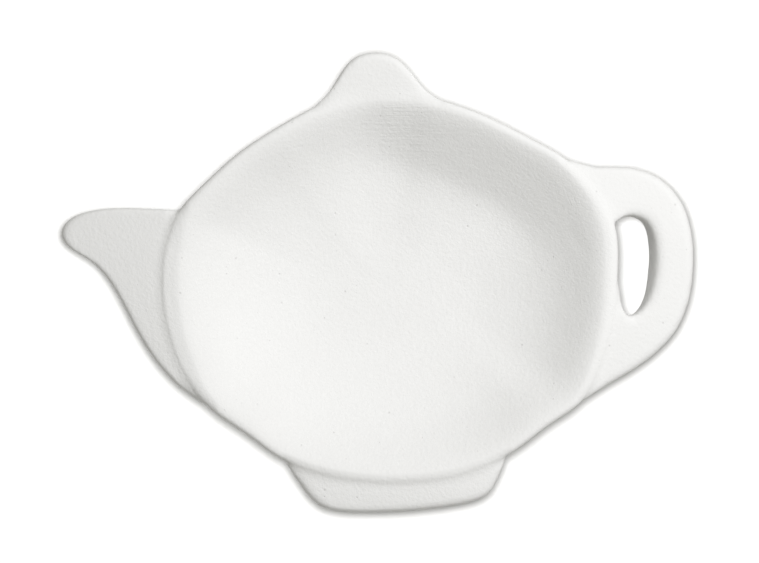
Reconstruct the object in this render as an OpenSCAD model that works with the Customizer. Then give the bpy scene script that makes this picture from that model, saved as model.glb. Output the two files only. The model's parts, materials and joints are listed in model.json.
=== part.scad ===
// Tea bag rest: a shallow dish in the outline of a teapot seen from the side.
// It is one ceramic casting. Its relief forms are kept as separate solids that
// meet face to face on the dish's upright outer wall.
// +X points from the spout to the handle, +Y from the foot to the lid knob and
// +Z up. The origin lies under the middle of the whole outline, on the table.

/* [Dish] */
// Width of the dish across its outer wall, spout side to handle side
dish_w = 86.8; // [80:0.2:94]
// Depth of the dish across its outer wall, knob side to foot side
dish_d = 75; // [69:0.2:81]
// Height of the rim's crest above the table
dish_h = 17.8; // [16.8:0.1:19.4]
// Thickness of the base, between the standing ring and the hollow's floor
base_t = 3.8; // [3:0.1:4.8]
// Width of the hollow's sloping wall, from the rim's crest to the floor
wall_w = 30; // [27:0.2:31]
// Distance of the rim's crest from the outer wall
crest_in = 1.1; // [0.9:0.1:1.6]
// Fall of the rim from its crest to the top of the upright outer wall
rim_drop = 1.3; // [1:0.1:1.6]
// Dip of the crest where the knob's top runs down into the hollow
knob_dip = 1; // [0.6:0.1:1.2]
// Height at which the outer wall turns upright and the spout and handle leave it
wall_z = 10.8; // [10:0.1:11.6]

/* [Standing ring] */
// Height of the ring that the dish stands on
ring_h = 1; // [0.6:0.1:1.6]
// Width of the ring's flat face
ring_w = 4; // [3:0.2:6]

/* [Spout] */
// Length of the spout, from the line between its root's ends to its tip
spout_l = 22.9; // [20:0.1:26]
// Fall of the spout's top from its root to its tip
spout_fall = 3.6; // [3:0.1:4.6]
// Thickness of the spout at its tip
spout_tip_t = 4; // [3.2:0.1:4.6]
// Step from the top of the dish's outer wall down to the spout's root
spout_step = 0.2; // [0.1:0.1:0.6]

/* [Handle] */
// Length of the handle, from the line between its root's ends to its far side
handle_l = 22.8; // [19:0.1:25]
// Fall of the handle's top from its root to its far side
handle_fall = 2.2; // [1:0.1:3]
// Thickness of the handle at its far side
handle_tip_t = 5; // [4:0.1:6]
// Slope of the finger hole's far wall, as the distance that it leans back
hole_lean = 2; // [1.4:0.1:2.4]

/* [Lid knob] */
// Length of the knob, from the line between its root's ends to its top
knob_l = 9.7; // [8.4:0.1:11]
// Rise of the knob's top from its root to its far end
knob_rise = 0.8; // [0.2:0.1:1]
// Thickness of the knob at its far end
knob_tip_t = 5.4; // [4.4:0.1:6.4]

/* [Pot foot] */
// Length of the foot, from the line between its root's ends to its flat end
foot_l = 10.1; // [9:0.1:11.6]
// Fall of the foot's top from its root to its flat end
foot_fall = 0.9; // [0.6:0.1:1.6]
// Thickness of the foot at its flat end
foot_tip_t = 4.4; // [3.6:0.1:5]
// Step from the top of the dish's outer wall down to the foot's root
foot_step = 0.2; // [0.1:0.1:0.6]

/* [Edges] */
// Rounding of the upper free edge of the spout, handle, knob and foot
edge_r = 1.3; // [1:0.1:1.7]
// Rounding of their lower free edge
under_r = 0.8; // [0.5:0.1:1.1]

/* [Hidden] */

// Samples in each span between two points of the dish's outline and the hole's
steps = 4;
hole_steps = 2;
// Overrun of the finger hole's cutter above and below the handle
overrun = 1;
bisque = [0.93, 0.93, 0.92];

// The dish's outer wall, anticlockwise from the handle's upper root: [share of
// half the width, share of half the depth, share of the rim's drop, share of the
// crest's distance, share of the crest's dip, share of the sloping wall's width,
// share of the full slope]. Beside the spout the crest lies deep inside a broad
// shoulder, and beside the knob it dips and fades away. The wall slopes in full
// only between the knob and the handle. Elsewhere it runs out in a long foot.
dish_shares = [
    [0.772, 0.641, 0.65, 1, 0, 1, 1], [0.618, 0.746, 1.00, 1, 0, 1, 1], [0.407, 0.868, 1.00, 1, 0, 1, 1],
    [0.218, 0.944, 0.85, 1.3, 0.4, 0.95, 0.8], [0.086, 0.987, 0.75, 1.7, 0.9, 0.9, 0.6],
    [-0.054, 1.000, 0.70, 1.9, 1, 0.88, 0.4], [-0.195, 0.972, 0.75, 1.7, 0.9, 0.9, 0.2],
    [-0.336, 0.903, 0.85, 1.3, 0.4, 0.95, 0], [-0.504, 0.796, 1.00, 1, 0, 1, 0],
    [-0.661, 0.676, 1.00, 1, 0, 1, 0], [-0.801, 0.532, 1.00, 1.2, 0, 1, 0],
    [-0.924, 0.382, 0.90, 1.7, 0, 1, 0], [-0.977, 0.232, 0.85, 2.3, 0, 1, 0],
    [-1.000, 0.089, 0.85, 2.6, 0, 1, 0], [-0.998, -0.069, 0.85, 2.6, 0, 1, 0],
    [-0.973, -0.237, 0.85, 2.4, 0, 1, 0], [-0.907, -0.435, 0.85, 2.0, 0, 1, 0],
    [-0.799, -0.615, 0.90, 1.3, 0, 1, 0], [-0.634, -0.751, 1.00, 0.9, 0, 1, 0],
    [-0.459, -0.891, 0.75, 0.9, 0, 1, 0], [-0.239, -0.972, 0.50, 1, 0, 1, 0],
    [0.029, -1.000, 0.45, 1, 0, 1, 0], [0.297, -0.964, 0.50, 1, 0, 1, 0],
    [0.510, -0.865, 0.75, 1, 0, 1, 0], [0.684, -0.718, 1.00, 1, 0, 1, 0],
    [0.846, -0.581, 0.90, 1.1, 0, 1, 0], [0.934, -0.379, 0.85, 1.5, 0, 1, 0],
    [0.982, -0.165, 0.70, 1.8, 0, 1, 0], [1.000, 0.048, 0.60, 1.9, 0, 1, 0],
    [0.993, 0.285, 0.55, 2.1, 0, 1, 0.3], [0.912, 0.476, 0.40, 1.6, 0, 1, 0.8]
];
// Places in that list where each form leaves the wall and comes back to it
knob_ends = [3, 7];
spout_ends = [11, 17];
foot_ends = [19, 23];
handle_ends = [25, 31];

// Free outlines, from one root end to the other:
// [share of the way along the root, share of the form's length outwards]
knob_shares = [
    [0.106, 0.194], [0.201, 0.535], [0.312, 0.862], [0.467, 1.000],
    [0.643, 0.945], [0.770, 0.634], [0.875, 0.250]
];
spout_shares = [
    [-0.039, 0.326], [-0.063, 0.622], [-0.048, 0.875], [0.019, 1.000],
    [0.103, 0.961], [0.187, 0.784], [0.283, 0.672], [0.400, 0.590],
    [0.561, 0.500], [0.716, 0.390], [0.867, 0.228]
];
foot_shares = [
    [0.048, 0.337], [0.123, 0.771], [0.225, 0.964], [0.442, 1.000],
    [0.650, 0.958], [0.880, 0.810], [0.953, 0.450]
];
handle_shares = [
    [0.054, 0.201], [0.104, 0.410], [0.169, 0.620], [0.258, 0.812],
    [0.382, 0.939], [0.526, 0.997], [0.663, 1.000], [0.790, 0.936],
    [0.894, 0.770], [0.948, 0.530], [0.961, 0.230]
];
// The finger hole: [along, outwards, share of the wall's lean]. On the dish's
// side it runs past the wall, so that the dish itself closes the hole there.
hole_shares = [
    [0.330, 0.425, 0.3], [0.358, 0.500, 0.7], [0.412, 0.575, 0.9],
    [0.510, 0.631, 1.0], [0.609, 0.649, 1.0], [0.699, 0.620, 0.9],
    [0.738, 0.546, 0.6], [0.747, 0.459, 0.3], [0.729, 0.381, 0.0],
    [0.675, 0.319, 0.0], [0.562, 0.307, 0.0], [0.469, 0.363, 0.0],
    [0.398, 0.370, 0.0], [0.343, 0.396, 0.1]
];

// Section of the dish, from its base up to the upright wall:
// [share of the way out from the base, share of the way up to the wall]
under_shares = [
    [0, 0], [0.12, 0.10], [0.30, 0.26], [0.48, 0.45], [0.66, 0.67], [0.82, 0.87],
    [0.94, 0.97], [1, 1]
];
// Rim: [share of the crest's distance inwards, share of the rim's drop]
rim_shares = [[0, 1], [0.12, 0.44], [0.40, 0.11], [1, 0]];
// Hollow: [share of the wall's width inwards, share of the hollow's depth where the
// wall runs out in a long foot, the same where it slopes in full]
wall_shares = [
    [0.03, 0.015, 0.02], [0.09, 0.09, 0.10], [0.16, 0.215, 0.22], [0.23, 0.345, 0.34],
    [0.30, 0.465, 0.46], [0.36, 0.555, 0.565], [0.42, 0.63, 0.665], [0.47, 0.685, 0.735],
    [0.53, 0.745, 0.795], [0.61, 0.81, 0.85], [0.71, 0.875, 0.895], [0.84, 0.94, 0.94],
    [1.00, 0.98, 0.98]
];
// The oval of the flat base, and the standing ring's, as shares of the dish
base_share = 0.50;
ring_share = 0.49;
base_w = base_share * dish_w / 2;
base_d = base_share * dish_d / 2;
// Depth of the hollow below the rim's crest
bowl_depth = dish_h - ring_h - base_t;
// Edge of a free form: angles round its upper rounding, shares round its lower
edge_angles = [30, 60, 90];
lower_shares = [[0, 1], [0.3, 0.3], [1, 0]];
// Rows across a form's top, before its edge turns down
top_rows = 3;
// Parts of a form's width that its upper and lower roundings may take
edge_limit_share = 0.5;
under_limit_share = 0.33;

// A smooth curve through four points, between the middle two
function span_at(a, b, c, d, t) =
    0.5 * (2 * b + (c - a) * t + (2 * a - 5 * b + 4 * c - d) * t * t
    + (3 * b - a - 3 * c + d) * t * t * t);
function closed_curve(pts, n) = let (m = len(pts))
    [for (i = [0:m - 1], k = [0:n - 1])
        span_at(pts[(i + m - 1) % m], pts[i], pts[(i + 1) % m], pts[(i + 2) % m], k / n)];
function open_curve(pts, n) = let (
        m = len(pts) - 1,
        all = concat([2 * pts[0] - pts[1]], pts, [2 * pts[m] - pts[m - 1]]))
    concat([for (i = [0:m - 1], k = [0:n - 1])
        span_at(all[i], all[i + 1], all[i + 2], all[i + 3], k / n)], [pts[m]]);

function flat(p) = [p[0], p[1]];
// A point moved straight towards the middle of the dish
function inset(p, d) = flat(p) * (1 - d / norm(flat(p)));
// The point of an oval that lies the same way from the middle as a wall point
function oval_at(p, half_w, half_d) = let (g = atan2(p[1] / dish_d, p[0] / dish_w))
    [half_w * cos(g), half_d * sin(g)];
function mix(a, b, t) = a + (b - a) * t;

// Distance of a point from one stretch of wall, and from a form's whole root
function stretch_dist(p, a, b) = let (
        t = max(0, min(1, ((p - a) * (b - a)) / ((b - a) * (b - a)))))
    norm(p - a - t * (b - a));
function root_dist(p, roots) =
    min([for (i = [0:len(roots) - 2]) stretch_dist(p, flat(roots[i]), flat(roots[i + 1]))]);

// The dish's outer wall: [x, y, drop of the rim there, crest's distance and dip,
// share of the sloping wall's width, share of its full slope]
wall_pts = [for (s = dish_shares)
    [s[0] * dish_w / 2, s[1] * dish_d / 2, s[2] * rim_drop, s[3] * crest_in,
        s[4] * knob_dip, s[5], s[6]]];
wall_curve = closed_curve(wall_pts, steps);
wall_n = len(wall_curve);

// The stretch of that wall that a form leaves from, and the form's free outline
function roots_of(ends) =
    [for (i = [ends[0] * steps:ends[1] * steps]) wall_curve[i % wall_n]];
// A place in a form's own frame, along its root and outwards from it
function place(roots, length, s) = let (
        a = flat(roots[0]),
        b = flat(roots[len(roots) - 1]),
        along = b - a,
        out = [along[1], -along[0]] / norm(along))
    a + along * s[0] + out * length * s[1];
function outline_of(roots, length, shares) = let (
        inner = [for (s = shares) place(roots, length, s)],
        pts = concat([flat(roots[0])], inner, [flat(roots[len(roots) - 1])]))
    open_curve(pts, (len(roots) - 1) / (len(pts) - 1));

knob_roots = roots_of(knob_ends);
knob_outline = outline_of(knob_roots, knob_l, knob_shares);
spout_roots = roots_of(spout_ends);
spout_outline = outline_of(spout_roots, spout_l, spout_shares);
foot_roots = roots_of(foot_ends);
foot_outline = outline_of(foot_roots, foot_l, foot_shares);
handle_roots = roots_of(handle_ends);
handle_outline = outline_of(handle_roots, handle_l, handle_shares);

// Middle of the whole outline, seen from above
mid_x = (min([for (p = spout_outline) p[0]]) + max([for (p = handle_outline) p[0]])) / 2;
mid_y = (min([for (p = foot_outline) p[1]]) + max([for (p = knob_outline) p[1]])) / 2;

// Faces of a strip of rings, where at(i, j) numbers point j of ring i
function faces_of(rings, rows, at) = [
    for (i = [0:rings - 2], j = [0:rows - 1])
        let (k = (j + 1) % rows, a = at(i, j), b = at(i + 1, j), c = at(i + 1, k), d = at(i, k))
        for (f = [[a, b, c], [a, c, d]])
            if (f[0] != f[1] && f[1] != f[2] && f[2] != f[0]) f
];

// A free form: it leaves the wall at the roots and ends at the outline. Its top
// falls with the distance from the wall, or rises where the fall is below zero,
// and its free edge is rounded. It narrows to an upright line at both root ends.
module free_form(roots, outline, step, fall, tip_t) {
    last = len(roots) - 1;
    reach = max([for (p = outline) root_dist(p, roots)]);
    tip_z = min([for (r = roots) dish_h - r[2]]) - step - fall - tip_t;
    function top_z(i, dist) = dish_h - roots[i][2] - step - fall * dist / reach;
    function low_z(dist) = wall_z + (tip_z - wall_z) * dist / reach;
    function ring(i) = let (
            a = flat(roots[i]),
            width = norm(outline[i] - a),
            u = (outline[i] - a) / width,
            r = min(edge_r, width * edge_limit_share),
            q = min(under_r, width * under_limit_share),
            top = [for (k = [0:top_rows]) [(width - r) * k / top_rows, 0, 0]],
            edge = [for (g = edge_angles) [width - r + r * sin(g), r * (1 - cos(g)), 0]],
            lower = [for (s = lower_shares) [width - q * s[0], q * s[1], 1]],
            rows = concat(top, edge, lower, [[0, 0, 1]]))
        [for (w = rows)
            let (p = a + u * w[0], dist = root_dist(p, roots))
            [p[0], p[1], w[2] == 0 ? top_z(i, dist) - w[1] : low_z(dist) + w[1]]];
    upper = top_rows + 1 + len(edge_angles);
    rows = upper + len(lower_shares) + 1;
    at = function (i, j)
        i == 0 ? (j < upper ? 0 : 1)
        : i == last ? 2 + (last - 1) * rows + (j < upper ? 0 : 1)
        : 2 + (i - 1) * rows + j;
    function end_pts(i) = [
        [roots[i][0], roots[i][1], top_z(i, 0)],
        [roots[i][0], roots[i][1], wall_z]
    ];
    points = concat(end_pts(0), [for (i = [1:last - 1]) each ring(i)], end_pts(last));
    polyhedron(points, faces_of(last + 1, rows, at), convexity = 6);
}

// The finger hole's cutter: straight on the dish's side, leaning back elsewhere
module hole_cutter() {
    low = wall_z - handle_tip_t - overrun;
    high = dish_h + overrun;
    curve = closed_curve([for (s = hole_shares)
        concat(place(handle_roots, handle_l, s), [s[2] * hole_lean])], hole_steps);
    n = len(curve);
    lean_dir = place(handle_roots, 1, [0, 1]) - place(handle_roots, 1, [0, 0]);
    // The wall leans back by its full amount between its foot and the rim
    function ring(z) = let (lean_share = (z - wall_z) / (dish_h - wall_z))
        [for (p = curve) concat(flat(p) + lean_dir * p[2] * lean_share, [z])];
    points = concat(ring(low), ring(high));
    walls = [for (i = [0:n - 1]) let (k = (i + 1) % n) each [[i, n + k, k], [i, n + i, n + k]]];
    caps = [[for (i = [0:n - 1]) i], [for (i = [n - 1:-1:0]) n + i]];
    polyhedron(points, concat(walls, caps), convexity = 4);
}

// The dish as rings from the middle of its base, out and over the rim, and down
// to the middle of its floor. Base and floor are ovals, and the wall between
// them takes on the outline by and by.
module dish_body() {
    in_w = dish_w / 2 - crest_in - wall_w;
    in_d = dish_d / 2 - crest_in - wall_w;
    under = [for (s = under_shares)
        [for (p = wall_curve)
            concat(mix(oval_at(p, base_w, base_d), flat(p), s[0]), [mix(ring_h, wall_z, s[1])])]];
    rim = [for (s = rim_shares)
        [for (p = wall_curve) concat(inset(p, p[3] * s[0]), [dish_h - mix(p[4], p[2], s[1])])]];
    hollow = [for (s = wall_shares)
        [for (p = wall_curve)
            concat(mix(inset(p, p[3]), oval_at(p, in_w, in_d), s[0] * p[5]),
                [dish_h - mix(p[4], bowl_depth, mix(s[1], s[2], p[6]))])]];
    rings = concat(under, rim, hollow);
    last = len(rings) + 1;
    at = function (i, j) i == 0 ? 0 : i == last ? 1 + len(rings) * wall_n : 1 + (i - 1) * wall_n + j;
    points = concat([[0, 0, ring_h]], [for (r = rings) each r], [[0, 0, dish_h - bowl_depth]]);
    polyhedron(points, faces_of(last + 1, wall_n, at), convexity = 4);
}

module dish() {
    color(bisque) translate([-mid_x, -mid_y, 0]) dish_body();
}

// A flat oval ring under the base. Only its lower face meets the table.
module standing_ring() {
    outer = [for (p = wall_curve) oval_at(p, ring_share * dish_w / 2, ring_share * dish_d / 2)];
    inner = [for (p = outer) inset(p, ring_w)];
    color(bisque) translate([-mid_x, -mid_y, 0]) linear_extrude(height = ring_h)
        difference() {
            polygon(outer);
            polygon(inner);
        }
}

module spout() {
    color(bisque) translate([-mid_x, -mid_y, 0])
        free_form(spout_roots, spout_outline, spout_step, spout_fall, spout_tip_t);
}

module handle() {
    color(bisque) translate([-mid_x, -mid_y, 0]) difference() {
        free_form(handle_roots, handle_outline, 0, handle_fall, handle_tip_t);
        hole_cutter();
    }
}

module lid_knob() {
    color(bisque) translate([-mid_x, -mid_y, 0])
        free_form(knob_roots, knob_outline, 0, -knob_rise, knob_tip_t);
}

module pot_foot() {
    color(bisque) translate([-mid_x, -mid_y, 0])
        free_form(foot_roots, foot_outline, foot_step, foot_fall, foot_tip_t);
}

dish();
standing_ring();
spout();
handle();
lid_knob();
pot_foot();
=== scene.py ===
# %% [markdown]
# # Tea bag rest in white bisque
# The real object is one thin ceramic casting in the outline of a teapot seen
# from the side: a shallow dish with a spout, a handle, a lid knob and a pot
# foot, all left unglazed and matt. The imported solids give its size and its
# main forms. This lesson turns them into a soft, cast skin, gives the skin the
# look of fired clay, and lights it from above.

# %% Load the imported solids
import json
import math

import bpy
import numpy as np
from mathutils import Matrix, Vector

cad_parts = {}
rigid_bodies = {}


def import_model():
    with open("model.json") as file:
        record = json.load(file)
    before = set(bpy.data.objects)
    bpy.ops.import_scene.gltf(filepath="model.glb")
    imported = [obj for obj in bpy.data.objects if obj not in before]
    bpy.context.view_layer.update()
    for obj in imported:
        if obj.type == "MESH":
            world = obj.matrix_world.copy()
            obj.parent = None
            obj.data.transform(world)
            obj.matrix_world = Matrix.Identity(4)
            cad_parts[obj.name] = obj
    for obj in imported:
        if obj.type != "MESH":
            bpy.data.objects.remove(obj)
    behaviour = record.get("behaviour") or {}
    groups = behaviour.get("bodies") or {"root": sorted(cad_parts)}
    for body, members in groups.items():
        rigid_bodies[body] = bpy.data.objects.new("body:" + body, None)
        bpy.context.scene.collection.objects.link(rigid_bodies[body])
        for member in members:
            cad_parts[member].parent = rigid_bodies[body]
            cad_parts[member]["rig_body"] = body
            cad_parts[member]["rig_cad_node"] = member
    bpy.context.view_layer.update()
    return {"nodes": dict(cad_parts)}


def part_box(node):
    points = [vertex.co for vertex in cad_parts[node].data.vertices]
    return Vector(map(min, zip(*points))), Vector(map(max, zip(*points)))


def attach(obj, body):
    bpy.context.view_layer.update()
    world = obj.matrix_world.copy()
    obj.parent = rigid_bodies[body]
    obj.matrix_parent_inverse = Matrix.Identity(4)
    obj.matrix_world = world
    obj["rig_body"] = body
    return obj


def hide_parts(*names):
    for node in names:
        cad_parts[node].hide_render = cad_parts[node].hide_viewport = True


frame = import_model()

MM = 0.001
print("solids:", sorted(frame["nodes"]))

# %% [markdown]
# ## Working by hand
# Every tool acts on what is selected, and the active piece is the one that
# edit mode opens. Picking pieces in one place keeps the steps below short.

# %% Pick pieces and apply modifiers
def pick(*pieces):
    """Selects only these pieces, and makes the first one active."""
    bpy.ops.object.select_all(action="DESELECT")
    for piece in pieces:
        piece.select_set(True)
    bpy.context.view_layer.objects.active = pieces[0]


def apply_modifier(piece, kind, **settings):
    """Adds a modifier to a piece and applies it to the mesh."""
    pick(piece)
    modifier = piece.modifiers.new(kind.title(), kind)
    for name, value in settings.items():
        setattr(modifier, name, value)
    bpy.ops.object.modifier_apply(modifier=modifier.name)


def smooth(piece, rounds, **settings):
    """Moves each vertex half way to the middle of its neighbours, a number of rounds over."""
    apply_modifier(piece, "SMOOTH", factor=0.5, iterations=rounds, **settings)


print("tools ready")

# %% [markdown]
# ## Vertices as rows of numbers
# A vertex is chosen and moved by its place. Numpy reads all the places at once
# as rows of x, y and z, which is quick enough for a skin of many small cells.

# %% Read and move vertices
def rows_of(piece, field):
    """One field of the piece's vertices, as rows of x, y and z."""
    rows = np.empty(len(piece.data.vertices) * 3)
    piece.data.vertices.foreach_get(field, rows)
    return rows.reshape(-1, 3)


def points_of(piece):
    """The places of the piece's vertices."""
    return rows_of(piece, "co")


def set_points(piece, points):
    """Puts the piece's vertices where the rows say."""
    piece.data.vertices.foreach_set("co", points.ravel())
    piece.data.update()


print("packed dish:", len(points_of(frame["nodes"]["dish"])), "vertices")

# %% [markdown]
# ## Copies of the solids
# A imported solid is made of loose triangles. A copy is merged into one closed
# skin and its triangles are paired into four-sided faces, which a subdivision
# surface rounds evenly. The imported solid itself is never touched.

# %% Copy a solid as one skin
MERGE = 0.002 * MM
PAIR_BEND = math.radians(40)
PAIR_SKEW = math.radians(60)


def copy_solid(node, name):
    """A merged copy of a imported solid, free of the frame."""
    pick(frame["nodes"][node])
    bpy.ops.object.duplicate()
    piece = bpy.context.object
    piece.name = name
    piece.parent = None
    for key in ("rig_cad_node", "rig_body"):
        del piece[key]
    bpy.ops.object.mode_set(mode="EDIT")
    bpy.ops.mesh.select_all(action="SELECT")
    bpy.ops.mesh.remove_doubles(threshold=MERGE)
    bpy.ops.mesh.tris_convert_to_quads(face_threshold=PAIR_BEND, shape_threshold=PAIR_SKEW)
    bpy.ops.mesh.faces_shade_smooth()
    bpy.ops.object.mode_set(mode="OBJECT")
    bpy.ops.mesh.customdata_custom_splitnormals_clear()
    print(name, len(piece.data.vertices), "vertices,", len(piece.data.polygons), "faces")
    return piece


dish = copy_solid("dish", "dish_blank")
spout = copy_solid("spout", "spout_blank")
handle = copy_solid("handle", "handle_blank")
knob = copy_solid("lid_knob", "knob_blank")
foot = copy_solid("pot_foot", "foot_blank")

# %% [markdown]
# ## The dish's outer wall
# The spout, handle, knob and foot all leave the dish at its upright outer
# wall. The wall's line, seen from above, is read from the dish: it is the ring
# of vertices at the height where the wall turns upright. The same line later
# parts the finished skin into its pieces.

# %% Read the wall's line
WALL_Z = 10.8 * MM
LEVEL = 0.01 * MM

low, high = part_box("dish")
middle = (low + high) / 2
corners = [p for p in points_of(dish) if abs(p[2] - WALL_Z) < LEVEL]
corners.sort(key=lambda p: math.atan2(p[1] - middle.y, p[0] - middle.x))
wall = np.array(corners)[:, :2]
print("wall line:", len(wall), "points")

# %% Measure from a line
def line_distance(points, line):
    """Distance of each point from a line of stretches, seen from above."""
    best = np.full(len(points), np.inf)
    for start, end in zip(line[:-1], line[1:]):
        step = end - start
        share = np.clip((points[:, :2] - start) @ step / (step @ step), 0, 1)
        gap = np.hypot(*(points[:, :2] - start - share[:, None] * step).T)
        best = np.minimum(best, gap)
    return best


def wall_distance(points):
    """Distance of each point from the wall's line."""
    return line_distance(points, np.vstack((wall, wall[:1])))


print("spout's nearest:", round(wall_distance(points_of(spout)).min() / MM, 3), "mm from the wall")

# %% [markdown]
# ## Roots that reach into the dish
# Each form only touches the dish, face to face. Its mating wall is extruded a
# little way into the dish, so that the skins overlap and can melt into one.

# %% Extrude the roots inwards
ROOT_SHARE = 0.96


def reach_into_dish(piece):
    """Extrudes the faces on the wall's line towards the dish's middle."""
    on_wall = wall_distance(points_of(piece)) < LEVEL
    pick(piece)
    bpy.ops.object.mode_set(mode="EDIT")
    bpy.ops.mesh.select_all(action="DESELECT")
    bpy.ops.object.mode_set(mode="OBJECT")
    for face in piece.data.polygons:
        face.select = all(on_wall[i] for i in face.vertices)
    chosen = sum(face.select for face in piece.data.polygons)
    bpy.ops.object.mode_set(mode="EDIT")
    bpy.ops.mesh.select_mode(type="FACE")
    bpy.ops.mesh.extrude_region_move()
    bpy.ops.transform.resize(value=(ROOT_SHARE, ROOT_SHARE, 1),
                             center_override=(middle.x, middle.y, 0))
    bpy.ops.object.mode_set(mode="OBJECT")
    print(piece.name, "root faces:", chosen)


for form in (spout, handle, knob, foot):
    reach_into_dish(form)

# %% [markdown]
# ## Smooth blanks
# A subdivision surface rounds the evenly built forms. The handle has its
# finger hole cut through it and its faces are uneven, so it is remade from
# small even cells and smoothed instead, which rounds the hole's rim as well.

# %% Round the blanks
FINER = 2
HANDLE_CELL = 0.3 * MM
HANDLE_ROUNDS = 10

for form in (dish, spout, knob, foot):
    apply_modifier(form, "SUBSURF", levels=FINER, render_levels=FINER)
apply_modifier(handle, "REMESH", mode="VOXEL", voxel_size=HANDLE_CELL)
smooth(handle, HANDLE_ROUNDS)
print("handle cells:", len(handle.data.polygons))

# %% [markdown]
# ## One cast skin
# The blanks are joined and remade as a single skin of small even cells, the way
# slip fills a mould. A little smoothing takes the steps between the cells away.

# %% Melt the blanks into one skin
CELL = 0.34 * MM
CAST_ROUNDS = 2

pick(dish, spout, handle, knob, foot)
bpy.ops.object.join()
casting = bpy.context.object
casting.name = "casting"
apply_modifier(casting, "REMESH", mode="VOXEL", voxel_size=CELL)
smooth(casting, CAST_ROUNDS)
print("casting:", len(casting.data.polygons), "faces")

# %% [markdown]
# ## The finger hole's far rim
# On the real rest the rim of the hole that the finger slides over is much
# rounder than the other edges. Smoothing only the cells near that rim rounds it
# there and leaves the rest of the handle as it is. A vertex group holds how much
# each cell takes part.

# %% Weigh the cells near a line
def near(points, line, full, reach):
    """One up to the first distance from a line, falling to nothing at the second."""
    return np.clip((reach - line_distance(points, line)) / (reach - full), 0, 1)


def weigh(piece, name, weights):
    """Gives the piece a vertex group with one weight for each vertex."""
    group = piece.vertex_groups.new(name=name)
    for index in np.flatnonzero(weights):
        group.add([int(index)], float(weights[index]), "REPLACE")
    print(name, "cells:", np.count_nonzero(weights))


print("weights ready")

# %% Round the finger hole's far rim
HOLE_RIM = np.array([(50.1, 13.4), (53.0, 10.0), (54.1, 3.9), (53.3, -2.4), (51.0, -6.8)]) * MM
RIM_FULL = 1.9 * MM
RIM_REACH = 4.0 * MM
RIM_ROUNDS = 100

rim = near(points_of(casting), HOLE_RIM, RIM_FULL, RIM_REACH)
weigh(casting, "far_rim", rim)
smooth(casting, RIM_ROUNDS, vertex_group="far_rim")

# %% [markdown]
# ### The far wall leans back
# Below the rounded rim the wall slopes in towards the hole, so that it shows
# from above as a shaded band. The lower the point, the further it is moved.

# %% Lean the far wall
LEAN = 0.6 * MM
LEAN_TOP = 15.5 * MM
LEAN_FOOT = 11.0 * MM
LEAN_MIDDLE = 3.5 * MM
LEAN_REACH = 9.5 * MM

points = points_of(casting)
depth = np.clip((LEAN_TOP - points[:, 2]) / (LEAN_TOP - LEAN_FOOT), 0, 1)
along = np.clip(1 - ((points[:, 1] - LEAN_MIDDLE) / LEAN_REACH) ** 2, 0, 1)
leaned = LEAN * rim * depth * along
points[:, 0] -= leaned
set_points(casting, points)
print("wall leaned:", round(leaned.max() / MM, 2), "mm")

# %% [markdown]
# ## Seams
# The rim runs down to the spout, the handle, the knob and the foot along the
# wall's line. Each seam is the stretch of that line inside the form's box, put
# in order along x or y.

# %% Find the seams
X, Y = 0, 1
SEAM_AXES = {"spout": Y, "handle": Y, "lid_knob": X, "pot_foot": X}


def seam_line(node):
    """The stretch of the wall's line that a form leaves from, in order."""
    low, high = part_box(node)
    inside = (wall > np.array(low[:2]) - LEVEL).all(1) & (wall < np.array(high[:2]) + LEVEL).all(1)
    line = wall[inside]
    return line[np.argsort(line[:, SEAM_AXES[node]])]


for node in SEAM_AXES:
    print(node, "seam:", len(seam_line(node)), "points")

# %% [markdown]
# ### The rim at the spout
# Along the spout the rim stands only a little higher than the spout's top, so
# the seam there is faint. The rim's crest is pressed down along that stretch,
# fading to nothing at the seam, towards the floor and at the stretch's ends.

# %% Press the upper side
def ease(share):
    """Zero to one, smooth at both ends."""
    share = np.clip(share, 0, 1)
    return share * share * (3 - 2 * share)


def press(piece, depths):
    """Lowers each vertex of the piece's upper side by its own depth."""
    points = points_of(piece)
    upper = rows_of(piece, "normal")[:, 2] > 0
    points[upper, 2] -= depths[upper]
    set_points(piece, points)
    print("pressed:", round(depths[upper].max() / MM, 2), "mm at most")


print("press ready")

# %% Press the rim at the spout
PRESS = 0.6 * MM
CREST_IN = 1.4 * MM
PRESS_REACH = 10.0 * MM
END_SHARE = 0.22

points = points_of(casting)
seam = seam_line("spout")
across = points[:, 0] - np.interp(points[:, 1], seam[:, 1], seam[:, 0])
along = (points[:, 1] - seam[0, 1]) / (seam[-1, 1] - seam[0, 1])
crest = ease(across / CREST_IN) * (1 - ease((across - CREST_IN) / (PRESS_REACH - CREST_IN)))
press(casting, PRESS * crest * ease(np.minimum(along, 1 - along) / END_SHARE))

# %% [markdown]
# ### Slip in the corners
# Slip has filled the inner corner along each seam. Smoothing a narrow strip does
# the same, and the free edges of the rim stay crisp. At the spout and the foot
# the strip is first smoothed all ways. Then every strip is smoothed up and down
# only, which fills the corner and keeps the outline.

# %% Smooth along the seams
SEAM_REACHES = {"spout": 2.0 * MM, "handle": 1.5 * MM, "lid_knob": 1.5 * MM, "pot_foot": 1.5 * MM}
SEAM_FULL_SHARE = 0.46
ALL_WAYS_ROUNDS = 14
UPRIGHT_ROUNDS = 50

points = points_of(casting)
for node, reach in SEAM_REACHES.items():
    weigh(casting, node + "_seam", near(points, seam_line(node), SEAM_FULL_SHARE * reach, reach))
for node in ("spout", "pot_foot"):
    smooth(casting, ALL_WAYS_ROUNDS, vertex_group=node + "_seam")
for node in SEAM_REACHES:
    smooth(casting, UPRIGHT_ROUNDS, use_x=False, use_y=False, vertex_group=node + "_seam")

# %% [markdown]
# ## A soft fold below the knob
# Where the two long sides of the hollow meet, below the knob, the real wall has
# a soft fold that fades towards the floor. It is pressed into the upper side of
# the skin as a shallow valley.

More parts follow.
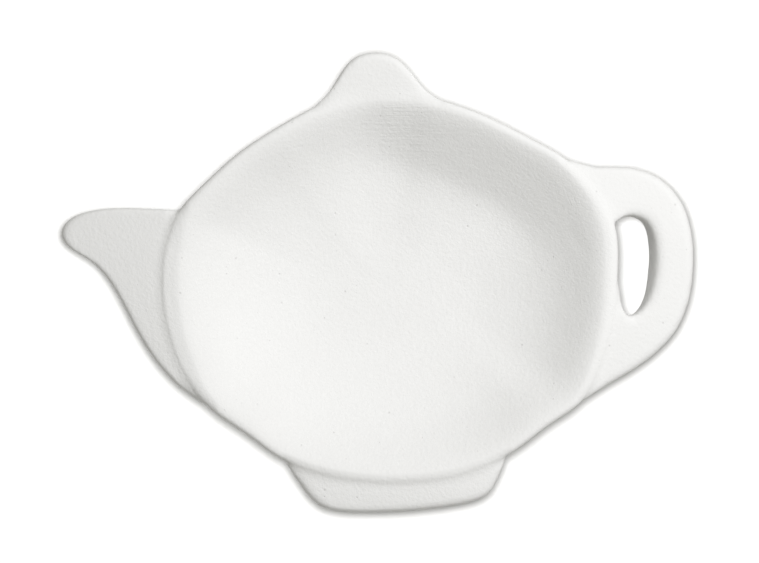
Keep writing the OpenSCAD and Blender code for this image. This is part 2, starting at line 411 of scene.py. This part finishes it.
# %% Press the fold
FOLD = np.array([(-2.2, 33.8), (0.3, 27.0), (5.3, 17.6)]) * MM
FOLD_WIDTH = 3.6 * MM
FOLD_DEPTH = 0.13 * MM

press(casting, FOLD_DEPTH * np.exp(-(line_distance(points_of(casting), FOLD) / FOLD_WIDTH) ** 2))

# %% [markdown]
# ## Parting the skin
# The record keeps the dish, spout, handle, knob and foot as separate pieces,
# so the one skin is parted along the outer wall by an upright cutter in the
# wall's outline. The cutter stands a hair outside the line, so that the dish
# keeps its wall.

# %% Make the parting cutter
PART_OUT = 0.15 * MM
CUTTER_FLOOR = -2 * MM
CUTTER_HEIGHT = 24 * MM

bpy.ops.object.select_all(action="DESELECT")
bpy.ops.mesh.primitive_circle_add(vertices=len(wall), fill_type="NGON", location=(0, 0, 0))
cutter = bpy.context.object
cutter.name = "parting_cutter"
spokes = wall - np.array(middle[:2])
outward = spokes / np.hypot(*spokes.T)[:, None]
order = np.argsort([math.atan2(v.co.y, v.co.x) for v in cutter.data.vertices])
places = np.zeros((len(wall), 3))
places[order, :2] = wall + outward * PART_OUT
places[:, 2] = CUTTER_FLOOR
set_points(cutter, places)
pick(cutter)
bpy.ops.object.mode_set(mode="EDIT")
bpy.ops.mesh.select_all(action="SELECT")
bpy.ops.mesh.extrude_region_move(TRANSFORM_OT_translate={"value": (0, 0, CUTTER_HEIGHT)})
bpy.ops.mesh.select_all(action="SELECT")
bpy.ops.mesh.normals_make_consistent(inside=False)
bpy.ops.object.mode_set(mode="OBJECT")
print("cutter:", tuple(round(side / MM, 1) for side in cutter.dimensions), "mm")

# %% Part the skin
pick(casting)
bpy.ops.object.duplicate()
dish = bpy.context.object
apply_modifier(dish, "BOOLEAN", operation="INTERSECT", object=cutter, solver="MANIFOLD")
apply_modifier(casting, "BOOLEAN", operation="DIFFERENCE", object=cutter, solver="MANIFOLD")
bpy.data.objects.remove(cutter)
pick(casting)
bpy.ops.mesh.separate(type="LOOSE")
print("forms:", len(bpy.context.selected_objects))

# %% [markdown]
# ### Which form is which
# From left to right come the spout, the foot and the knob, and the handle. The
# foot is the lower one of the middle two.

# %% Name the cast pieces
forms = sorted(bpy.context.selected_objects, key=lambda form: points_of(form)[:, X].mean())
spout, *middle_two, handle = forms
foot, knob = sorted(middle_two, key=lambda form: points_of(form)[:, Y].mean())
for piece, name in ((dish, "cast_dish"), (spout, "cast_spout"), (handle, "cast_handle"),
                    (knob, "cast_knob"), (foot, "cast_foot")):
    piece.name = name
    places = points_of(piece)
    print(name, len(places), (places.min(0) / MM).round(1), (places.max(0) / MM).round(1))

# %% [markdown]
# ## A lighter underside
# The dish's underside is plain and smooth, so it needs far fewer faces than the
# rim and the hollow. Collapsing edges only there leaves the rest as it is.

# %% Thin the underside
KEPT_SHARE = 0.64
FACING_DOWN = -0.3

weigh(dish, "underside", rows_of(dish, "normal")[:, 2] < FACING_DOWN)
apply_modifier(dish, "DECIMATE", ratio=KEPT_SHARE, vertex_group="underside")
triangles = sum(len(face.vertices) - 2 for face in dish.data.polygons)
print("dish:", triangles, "triangles")

# %% Look for open edges
bpy.ops.object.mode_set(mode="EDIT")
bpy.ops.mesh.select_mode(type="EDGE")
bpy.ops.mesh.select_all(action="DESELECT")
bpy.ops.mesh.select_non_manifold()
bpy.ops.object.mode_set(mode="OBJECT")
print("open edges:", sum(edge.select for edge in dish.data.edges))

# %% [markdown]
# ## The standing ring
# The dish stands on a low oval ring, whose flat face is wiped clean before
# firing. Its shape in the solids is right, so a copy only gets its edges eased.

# %% Ease the standing ring's edges
EDGE_WIDTH = 0.35 * MM
EDGE_STEPS = 3
EDGE_BEND = math.radians(40)

ring = copy_solid("standing_ring", "cast_ring")
apply_modifier(ring, "BEVEL", width=EDGE_WIDTH, segments=EDGE_STEPS, limit_method="ANGLE",
               angle_limit=EDGE_BEND)
print("eased ring:", len(ring.data.polygons), "faces")

# %% [markdown]
# ## Shading
# The skin is smooth everywhere except where the parting made sharp corners,
# which are hidden inside the object.

# %% Smooth shading
SHARP = math.radians(50)
PIECES = {"dish": dish, "standing_ring": ring, "spout": spout, "handle": handle,
          "lid_knob": knob, "pot_foot": foot}

for piece in PIECES.values():
    pick(piece)
    bpy.ops.object.shade_smooth_by_angle(angle=SHARP)
print("smooth:", len(PIECES), "pieces")

# %% [markdown]
# ## Shader sums
# A material is a web of nodes. Wrapping a socket lets the sums be written as
# plain expressions, each of which adds its Math node.

# %% Wrap the sockets
class Value:
    """One output socket that can be used in sums."""

    def __init__(self, web, socket):
        self.web = web
        self.socket = socket

    def sum_of(self, operation, first, second):
        """A Math node on two terms, each a wrapped socket or a number."""
        node = self.web.nodes.new("ShaderNodeMath")
        node.operation = operation
        for slot, term in zip(node.inputs, (first, second)):
            if isinstance(term, Value):
                self.web.links.new(term.socket, slot)
            else:
                slot.default_value = term
        return Value(self.web, node.outputs[0])

    def __add__(self, other):
        return self.sum_of("ADD", self, other)

    def __radd__(self, other):
        return self.sum_of("ADD", other, self)

    def __sub__(self, other):
        return self.sum_of("SUBTRACT", self, other)

    def __rsub__(self, other):
        return self.sum_of("SUBTRACT", other, self)

    def __mul__(self, other):
        return self.sum_of("MULTIPLY", self, other)

    def __rmul__(self, other):
        return self.sum_of("MULTIPLY", other, self)


print("sums ready")

# %% [markdown]
# ## Every other node
# One method makes any other node. It takes the node's type and its settings, and
# the values or links of its sockets by name. Sockets that share a name are given
# by place, as at0 and at1.

# %% Lay out a web
class Finish:
    """A material and its web of nodes."""

    def __init__(self, name):
        self.material = bpy.data.materials.new(name)
        self.material.use_nodes = True
        self.web = self.material.node_tree
        self.web.nodes.clear()

    def node(self, kind, settings=None, out=0, **values):
        """Adds a node, sets it up and fills its sockets."""
        node = self.web.nodes.new("ShaderNode" + kind)
        for name, value in (settings or {}).items():
            setattr(node, name, value)
        for name, value in values.items():
            numbered = name.startswith("at") and name[2:].isdigit()
            slot = node.inputs[int(name[2:]) if numbered else name.replace("_", " ")]
            if isinstance(value, Value):
                self.web.links.new(value.socket, slot)
            else:
                slot.default_value = value
        return Value(self.web, node.outputs[out]) if node.outputs else None


print("nodes ready")

# %% [markdown]
# ## Bisque
# Bisque is clay that has been fired once and not glazed: white, quite matt and
# a little chalky. Its grain is finer than a sheet of paper's, so it is a bump
# map rather than geometry. All patterns are placed on object coordinates, and
# because every piece keeps the same origin they run on from piece to piece.

# %% Begin the bisque
bisque = Finish("bisque")
place = bisque.node("TexCoord", out="Object")
flat_place = bisque.node("VectorMath", {"operation": "MULTIPLY"}, at0=place, at1=(1, 1, 0))


def fade(distance, full_mm, reach_mm):
    """One up to the first distance, falling smoothly to nothing at the second."""
    return bisque.node("MapRange", {"interpolation_type": "SMOOTHSTEP"}, Value=distance,
                       From_Min=full_mm * MM, From_Max=reach_mm * MM, To_Min=1.0, To_Max=0.0)


def spot(centre_mm, full_mm, reach_mm):
    """A round spot of the surface, seen from above."""
    centre = (centre_mm[0] * MM, centre_mm[1] * MM, 0)
    away = bisque.node("VectorMath", {"operation": "DISTANCE"}, out="Value",
                       at0=flat_place, at1=centre)
    return fade(away, full_mm, reach_mm)


def stroke(start_mm, end_mm, reach_mm):
    """A straight soft stroke on the surface, seen from above."""
    start = Vector((*start_mm, 0)) * MM
    step = Vector((*end_mm, 0)) * MM - start
    offset = bisque.node("VectorMath", {"operation": "SUBTRACT"}, at0=flat_place, at1=tuple(start))
    share = bisque.node("VectorMath", {"operation": "DOT_PRODUCT"}, out="Value", at0=offset,
                        at1=tuple(step / step.length_squared))
    held = bisque.node("MapRange", Value=share)
    nearest = bisque.node("VectorMath", {"operation": "SCALE"}, at0=tuple(step), Scale=held)
    away = bisque.node("VectorMath", {"operation": "DISTANCE"}, out="Value",
                       at0=offset, at1=nearest)
    return fade(away, 0.0, reach_mm)


print("bisque begun")

# %% [markdown]
# ### Grain and pits
# Three sizes of noise give the grain, the slight unevenness of the wall and the
# cloudiness of the clay. Pits are the air bubbles of the slip: small cells of a
# Voronoi pattern, of which only some hold a pit.

# %% Grain, unevenness and pits
LEAST_SHRINK = 0.8


def pits(scale, radius_share, kept_share):
    """Small round pits of mixed sizes in some of the cells of a Voronoi pattern."""
    distance = bisque.node("TexVoronoi", out="Distance", Vector=place, Scale=scale)
    cell_colour = bisque.node("TexVoronoi", out="Color", Vector=place, Scale=scale)
    chance = bisque.node("SeparateColor", Color=cell_colour)
    shrink = bisque.node("SeparateColor", out="Green", Color=cell_colour) + LEAST_SHRINK
    dot = bisque.node("MapRange", {"interpolation_type": "SMOOTHSTEP"}, Value=distance * shrink,
                      From_Min=0.0, From_Max=radius_share, To_Min=1.0, To_Max=0.0)
    kept = bisque.node("Math", {"operation": "LESS_THAN"}, at0=chance, at1=kept_share)
    return dot * kept


grain = bisque.node("TexNoise", Vector=place, Scale=1500.0, Detail=4.0, Roughness=0.65)
uneven = bisque.node("TexNoise", Vector=place, Scale=400.0, Detail=3.0, Roughness=0.5)
cloud = bisque.node("TexNoise", Vector=place, Scale=70.0, Detail=4.0, Roughness=0.6)
large_pits = pits(scale=480.0, radius_share=0.14, kept_share=0.30)
small_pits = pits(scale=1000.0, radius_share=0.16, kept_share=0.30)
print("grain ready")

# %% [markdown]
# ### Rough places
# The mould was wiped below the knob, which left streaks there. The foot and a
# patch of the lower right wall are a little rougher than the other parts.

# %% Streaks and waves
STREAK_SCALE = (90, 2300, 90)
FOOT_SMOOTH_Y = -38.6 * MM
FOOT_ROUGH_Y = -40.0 * MM
WALL_SHARE = 0.5

streak_place = bisque.node("VectorMath", {"operation": "MULTIPLY"}, at0=place, at1=STREAK_SCALE)
streaks = bisque.node("TexNoise", Vector=streak_place, Scale=1.0, Detail=2.0)
streaks = streaks * spot((6.5, 31.0), full_mm=3, reach_mm=12)
waves = bisque.node("TexNoise", Vector=place, Scale=800.0, Detail=2.0, Distortion=1.2)
northing = bisque.node("SeparateXYZ", out="Y", Vector=place)
rough_foot = bisque.node("MapRange", Value=northing, From_Min=FOOT_ROUGH_Y,
                         From_Max=FOOT_SMOOTH_Y, To_Min=1.0, To_Max=0.0)
rough_wall = spot((30.5, -18.5), full_mm=4, reach_mm=13) * WALL_SHARE
print("rough places ready")

# %% [markdown]
# ### Marks of the making
# A shallow dent and a few hairline scratches lie in the wall near the handle,
# and a faint drag line on the floor. Each is a soft stroke, given by its start,
# its end and its half width in millimetres.

# %% Dent and scratches
DENT = ((37.0, 9.9), (39.6, 5.8), 1.9)
HAIRLINES = (((36.0, 17.0), (37.0, 14.6), 0.16),
             ((37.4, 16.2), (38.2, 14.0), 0.16),
             ((38.6, 15.4), (39.0, 14.4), 0.18))
DRAG_LINE = ((21.8, -17.2), (28.6, -12.8), 0.25)
DRAG_SHARE = 0.4

dent = stroke(*DENT)
scratches = stroke(*DRAG_LINE) * DRAG_SHARE
for hairline in HAIRLINES:
    scratches = scratches + stroke(*hairline)
print("marks ready")

# %% [markdown]
# ### Relief
# Heights are summed in millimetres and given to one bump node.

# %% Sum the relief
GRAIN_MM = 0.130
UNEVEN_MM = 0.060
STREAK_MM = 0.120
WAVE_MM = 0.045
LARGE_PIT_MM = 0.08
SMALL_PIT_MM = 0.03
DENT_MM = 0.05
SCRATCH_MM = 0.02

height = grain * GRAIN_MM + uneven * UNEVEN_MM + streaks * STREAK_MM
height = height + waves * (rough_foot + rough_wall) * WAVE_MM
height = height - large_pits * LARGE_PIT_MM - small_pits * SMALL_PIT_MM
height = height - dent * DENT_MM - scratches * SCRATCH_MM
relief = bisque.node("Bump", Strength=1.0, Distance=MM, Height=height)
print("relief ready")

# %% [markdown]
# ### Colour
# The clay is a warm white with slightly duller clouds. Pits, the dent and the
# scratches are painted darker, as painted shade for the shade that falls in them.

# %% Finish the bisque
CLAY = (0.860, 0.860, 0.848, 1)
CLAY_DULL = (0.850, 0.849, 0.837, 1)
# The grey below is a painted shade colour for the insides of pits, the dent and scratches.
PAINTED_SHADE_COLOUR = (0.55, 0.54, 0.52, 1)
CLOUD_LOW = 0.35
CLOUD_HIGH = 0.7
LARGE_PIT_SHADE = 0.4
SMALL_PIT_SHADE = 0.25
DENT_SHADE = 0.02
SCRATCH_SHADE = 0.03
MATT = 0.9

dull = bisque.node("MapRange", Value=cloud, From_Min=CLOUD_LOW, From_Max=CLOUD_HIGH)
clay = bisque.node("Mix", {"data_type": "RGBA"}, out=2, at0=dull, at6=CLAY, at7=CLAY_DULL)
# Painted shade: pits, the dent and the scratches are mixed towards the grey shade colour.
painted_shade_share = large_pits * LARGE_PIT_SHADE + small_pits * SMALL_PIT_SHADE
painted_shade_share = painted_shade_share + dent * DENT_SHADE + scratches * SCRATCH_SHADE
colour = bisque.node("Mix", {"data_type": "RGBA"}, out=2, at0=painted_shade_share, at6=clay, at7=PAINTED_SHADE_COLOUR)
surface = bisque.node("BsdfPrincipled", Base_Color=colour, Roughness=MATT, Normal=relief)
bisque.node("OutputMaterial", Surface=surface)
for node, piece in PIECES.items():
    piece.data.materials.clear()
    piece.data.materials.append(bisque.material)
    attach(piece, "root")
    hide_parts(node)
print("bisque on", len(PIECES), "pieces")

# %% [markdown]
# ## Table
# The rest lies on a white table. The camera sees the table white, but to the
# light that bounces it is grey, so that it doesn't fill its own shadow or light
# the rest from below.

# %% Table
TABLE_SIDE = 3
TABLE_GAP = 0.02 * MM
WHITE = (0.95, 0.95, 0.95, 1)
GREY = (0.66, 0.66, 0.66, 1)

bpy.ops.object.select_all(action="DESELECT")
bpy.ops.mesh.primitive_plane_add(size=TABLE_SIDE, location=(0, 0, -TABLE_GAP))
table = bpy.context.object
table.name = "table"
white = Finish("table_white")
seen = white.node("LightPath", out="Is Camera Ray")
seen = seen + white.node("LightPath", out="Is Glossy Ray")
seen = seen + white.node("LightPath", out="Is Transmission Ray")
shown = white.node("Mix", {"data_type": "RGBA"}, out=2, at0=seen, at6=GREY, at7=WHITE)
paper = white.node("BsdfPrincipled", Base_Color=shown, Roughness=MATT)
white.node("OutputMaterial", Surface=paper)
table.data.materials.append(white.material)
print("table:", tuple(round(side, 2) for side in table.dimensions), "m")

# %% [markdown]
# ## Light
# The rest is lit softly from the upper right, so that its forms show as shades.
# The table has a lamp of its own, almost straight above, so that it is white
# without more light on the rest, and keeps the rest's soft shadow. Light linking
# holds each lamp to its own pieces.

# %% Light
def light(name, lit, azimuth, elevation, distance, **settings):
    """An area lamp that looks at the origin from a direction, and lights only some pieces."""
    turn, tilt = math.radians(azimuth), math.radians(elevation)
    level = math.cos(tilt)
    towards = Vector((math.cos(turn) * level, math.sin(turn) * level, math.sin(tilt)))
    bpy.ops.object.light_add(type="AREA", location=towards * distance)
    lamp = bpy.context.object
    lamp.name = name
    lamp.rotation_euler = towards.to_track_quat("Z", "Y").to_euler()
    for setting, value in settings.items():
        setattr(lamp.data, setting, value)
    group = bpy.data.collections.new("lit_by_" + name)
    for piece in lit:
        group.objects.link(piece)
    lamp.light_linking.receiver_collection = group


light("key", PIECES.values(), azimuth=34, elevation=63, distance=0.6,
      energy=2.96, size=0.2, color=(0.98, 0.98, 1))
light("table_lamp", [table], azimuth=90, elevation=88.5, distance=1.2,
      energy=13.0, shape="DISK", size=0.17)

# %% [markdown]
# ## Room
# A pale room gives a little slightly warm light from all sides, which keeps the
# walls that face away from the key lamp from going dark.

# %% Room
ROOM_COLOUR = (1, 0.99, 0.91, 1)
ROOM_STRENGTH = 0.25

world = bpy.context.scene.world or bpy.data.worlds.new("room")
bpy.context.scene.world = world
world.use_nodes = True
web = world.node_tree
web.nodes.clear()
background = web.nodes.new("ShaderNodeBackground")
background.inputs["Color"].default_value = ROOM_COLOUR
background.inputs["Strength"].default_value = ROOM_STRENGTH
ending = web.nodes.new("ShaderNodeOutputWorld")
web.links.new(background.outputs[0], ending.inputs["Surface"])
print("room light:", ROOM_STRENGTH)

# %% [markdown]
# ## Camera
# The photograph looks straight down from far away, so the camera stands high
# above with a long lens. The lens follows from the width that the photograph
# spans at the height of the outer wall, which draws the outline.

# %% Camera
PHOTO_WIDTH_PX = 759
PHOTO_MM_PER_PX = 0.1903
OUTLINE_Z = 12.4 * MM
DISTANCE = 4
SENSOR_MM = 36
AIM = Vector((0.50 * MM, 0.17 * MM, OUTLINE_Z))

bpy.ops.object.camera_add(location=AIM + Vector((0, 0, DISTANCE)), rotation=(0, 0, 0))
camera = bpy.context.object
camera.data.sensor_width = SENSOR_MM
camera.data.lens = SENSOR_MM * DISTANCE / (PHOTO_WIDTH_PX * PHOTO_MM_PER_PX * MM)
bpy.context.scene.camera = camera
bpy.context.scene.view_settings.view_transform = "Standard"
print("lens", round(camera.data.lens, 1), "mm")
